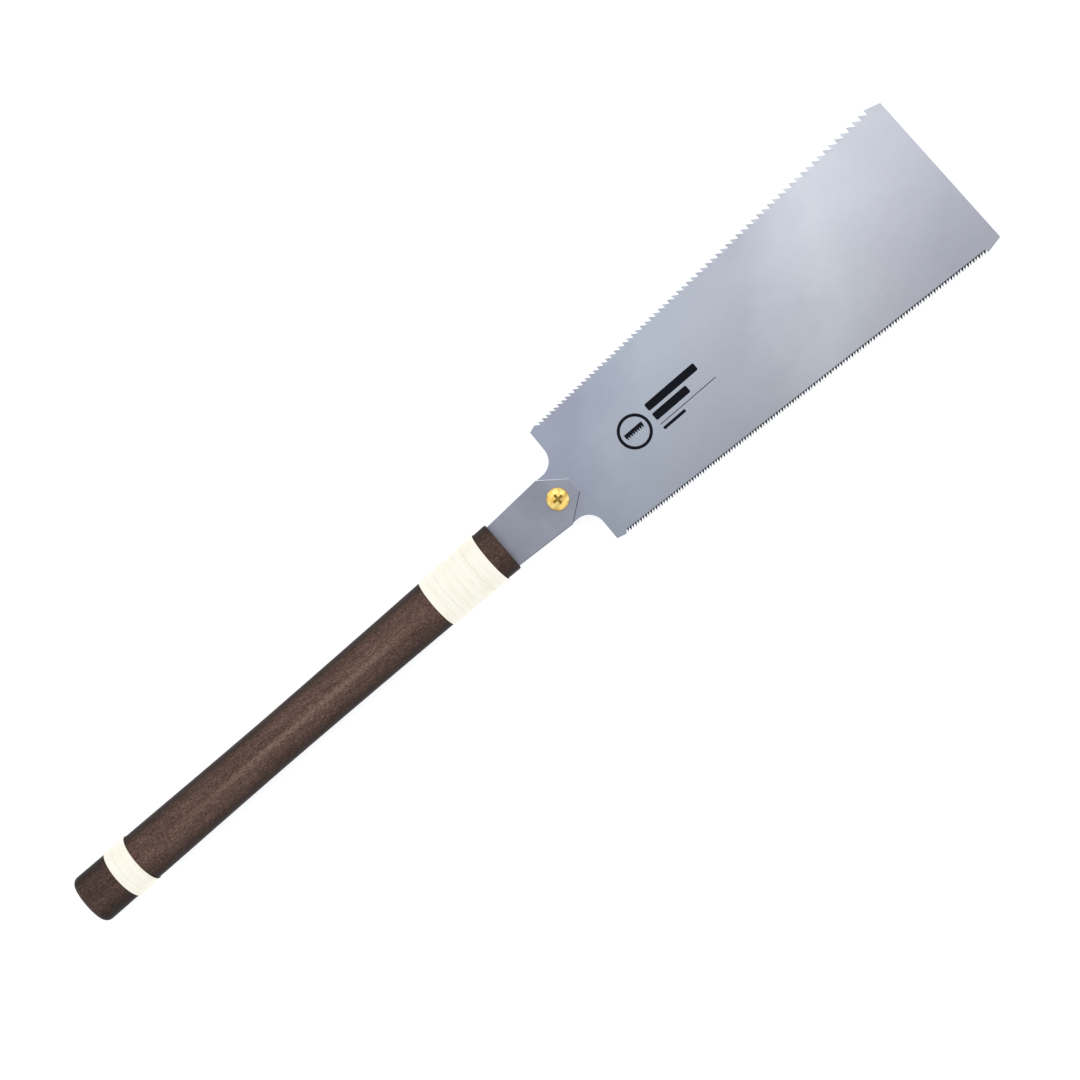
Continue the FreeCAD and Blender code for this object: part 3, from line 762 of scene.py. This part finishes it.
def wound_strip(name, node, turns, tilt, half_axes, cane, seed):
    """One flat strip wound round the wood, edge to edge, in place of a wrap's plain sleeve."""
    low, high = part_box(node)
    vertices, runs = strip_points(low.x, high.x, turns, tilt, half_axes, seed)
    size = len(STRIP_SECTION)
    last = len(vertices) // size - 1
    faces = []
    for step in range(last):
        for k in range(size):
            after = (k + 1) % size
            here = step * size
            there = here + size
            faces.append([here + k, here + after, there + after, there + k])
    faces.append(list(reversed(range(size))))
    faces.append([last * size + k for k in range(size)])
    mesh = bpy.data.meshes.new(name)
    mesh.from_pydata([tuple(v) for v in vertices], [], faces)
    mesh.materials.append(cane)
    data = mesh.attributes.new("run", "FLOAT_VECTOR", "POINT")
    data.data.foreach_set("vector", [number for run in runs for number in run])
    mesh.shade_smooth()
    mesh.set_sharp_from_angle(angle=math.radians(50))
    strip = bpy.data.objects.new(name, mesh)
    bpy.context.scene.collection.objects.link(strip)
    work = bmesh.new()
    work.from_mesh(mesh)
    bmesh.ops.recalc_face_normals(work, faces=work.faces)
    work.to_mesh(mesh)
    work.free()
    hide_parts(node)
    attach(strip, "handle")


# ---------------------------------------------------------------- studio


def studio():
    """White floor, soft even light, a little more of it from the rip side and from the toe."""
    far = FLOOR_HALF_SIDE
    corners = [(-far, -far, 0), (far, -far, 0), (far, far, 0), (-far, far, 0)]
    floor = make_object("floor", corners, [[0, 1, 2, 3]], [floor_finish()])

    light_tent()
    add_softbox("key_softbox", place=(0.1, 1.5, 1.3), size=(2.2, 1.3), power=4.0)
    add_softbox("toe_softbox", place=(1.5, 0.3, 1.5), size=(0.8, 0.8), power=2.0)


def light_tent():
    """A nearly even white tent: dimmer low down, with a bright and a dim band to the crosscut
    side, and a little blue."""
    world = bpy.data.worlds.new("light_tent")
    bpy.context.scene.world = world
    world.use_nodes = True
    tree = world.node_tree
    back = tree.nodes["Background"]
    place = tree.nodes.new("ShaderNodeTexCoord").outputs["Generated"]

    def shade(direction, stops):
        """Grey by how far the tent's wall lies towards a direction, from -1 to 1."""
        turn = tree.nodes.new("ShaderNodeVectorMath")
        turn.operation = "DOT_PRODUCT"
        turn.inputs[1].default_value = Vector(direction).normalized()
        tree.links.new(place, turn.inputs[0])
        spread = tree.nodes.new("ShaderNodeMapRange")
        spread.inputs["From Min"].default_value = -1.0
        tree.links.new(turn.outputs["Value"], spread.inputs["Value"])
        ramp = tree.nodes.new("ShaderNodeValToRGB")
        elements = ramp.color_ramp.elements
        while len(elements) < len(stops):
            elements.new(0.5)
        for element, (turned, grey) in zip(elements, stops):
            element.position = (turned + 1) / 2
            element.color = (grey, grey, grey, 1)
        tree.links.new(spread.outputs["Result"], ramp.inputs["Fac"])
        return ramp.outputs["Color"]

    height = shade(
        (0, 0, 1),
        [(0, 0.93), (0.08, 0.64), (0.3, 0.74), (0.5, 1.03), (0.7, 1.13), (0.93, 1.11), (1, 1.03)],
    )
    side = shade(
        (-0.25, 0.97, 0.0),
        [(-0.9, 0.9), (-0.7, 1.25), (-0.4, 0.65), (0.0, 1.0), (0.35, 1.07), (0.9, 0.95)],
    )
    tinted = tree.nodes.new("ShaderNodeVectorMath")
    tinted.operation = "MULTIPLY"
    tree.links.new(height, tinted.inputs[0])
    tree.links.new(side, tinted.inputs[1])
    tint = tree.nodes.new("ShaderNodeVectorMath")
    tint.operation = "MULTIPLY"
    tree.links.new(tinted.outputs["Vector"], tint.inputs[0])
    tint.inputs[1].default_value = (0.97, 1.0, 1.06)
    tree.links.new(tint.outputs["Vector"], back.inputs["Color"])
    back.inputs["Strength"].default_value = 1.0


def floor_finish():
    """White paper that glows a little, so that it stays white with only faint shadows."""
    paper = Finish("white_paper", 0.8)
    mottle = paper.noise(paper.place, 6.0, detail=2.0)
    paper.colour(paper.ramp(mottle, [(0.3, (0.49, 0.49, 0.49)), (0.7, (0.51, 0.51, 0.51))]))
    paper.shader.inputs["Emission Color"].default_value = (1.0, 1.0, 1.0, 1.0)
    paper.shader.inputs["Emission Strength"].default_value = 0.68
    return paper.material


def add_softbox(name, place, size, power):
    """A rectangular area light that faces the saw."""
    data = bpy.data.lights.new(name, "AREA")
    data.shape = "RECTANGLE"
    data.size, data.size_y = size
    data.energy = power
    light = bpy.data.objects.new(name, data)
    bpy.context.scene.collection.objects.link(light)
    light.location = place
    light.rotation_euler = (-Vector(place)).to_track_quat("-Z", "Y").to_euler()


def add_camera():
    """The photograph's view: straight down, with the saw running from lower left to upper right."""
    data = bpy.data.cameras.new("camera")
    data.sensor_width = SENSOR_WIDTH
    data.lens = SENSOR_WIDTH * CAMERA_RISE / CAMERA_VIEW_WIDTH
    data.clip_start = 0.05
    data.clip_end = 2.5 * FLOOR_HALF_SIDE
    camera = bpy.data.objects.new("camera", data)
    bpy.context.scene.collection.objects.link(camera)
    camera.location = CAMERA_CENTRE + Vector((0, 0, CAMERA_RISE))
    camera.rotation_euler = (0.0, 0.0, -math.radians(CAMERA_TURN))
    bpy.context.scene.camera = camera


# ---------------------------------------------------------------- the saw


def dress_node(node, finish):
    """Give a CAD node that keeps its shape its finish."""
    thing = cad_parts[node]
    thing.data.materials.clear()
    thing.data.materials.append(finish)


def build_saw():
    """Every piece of the visual model, and the finishes of the CAD nodes that stay."""
    steel = blade_finish()
    holder = holder_finish()
    brass = brass_finish()
    cane = cane_finish()
    blade_piece(steel, hardened_finish())
    printed_mark(ink_finish())
    half_axes = wood_surface()
    wound_strip("front_cane_strip", "front_wrap", 8, 1.6 * MM, half_axes, cane, seed=3)
    wound_strip("rear_cane_strip", "rear_wrap", 3, 1.4 * MM, half_axes, cane, seed=11)
    plates = ("holder_front_plate", "holder_back_plate", "holder_spacer")
    for node in (*plates, "holder_rivets", "handle_pins"):
        dress_node(node, holder)
    for node in ("clamp_screw", "clamp_nut"):
        dress_node(node, brass)
    dress_node("handle_grip", wood_finish())


add_camera()
build_saw()
studio()
bpy.context.scene.view_settings.view_transform = "Standard"
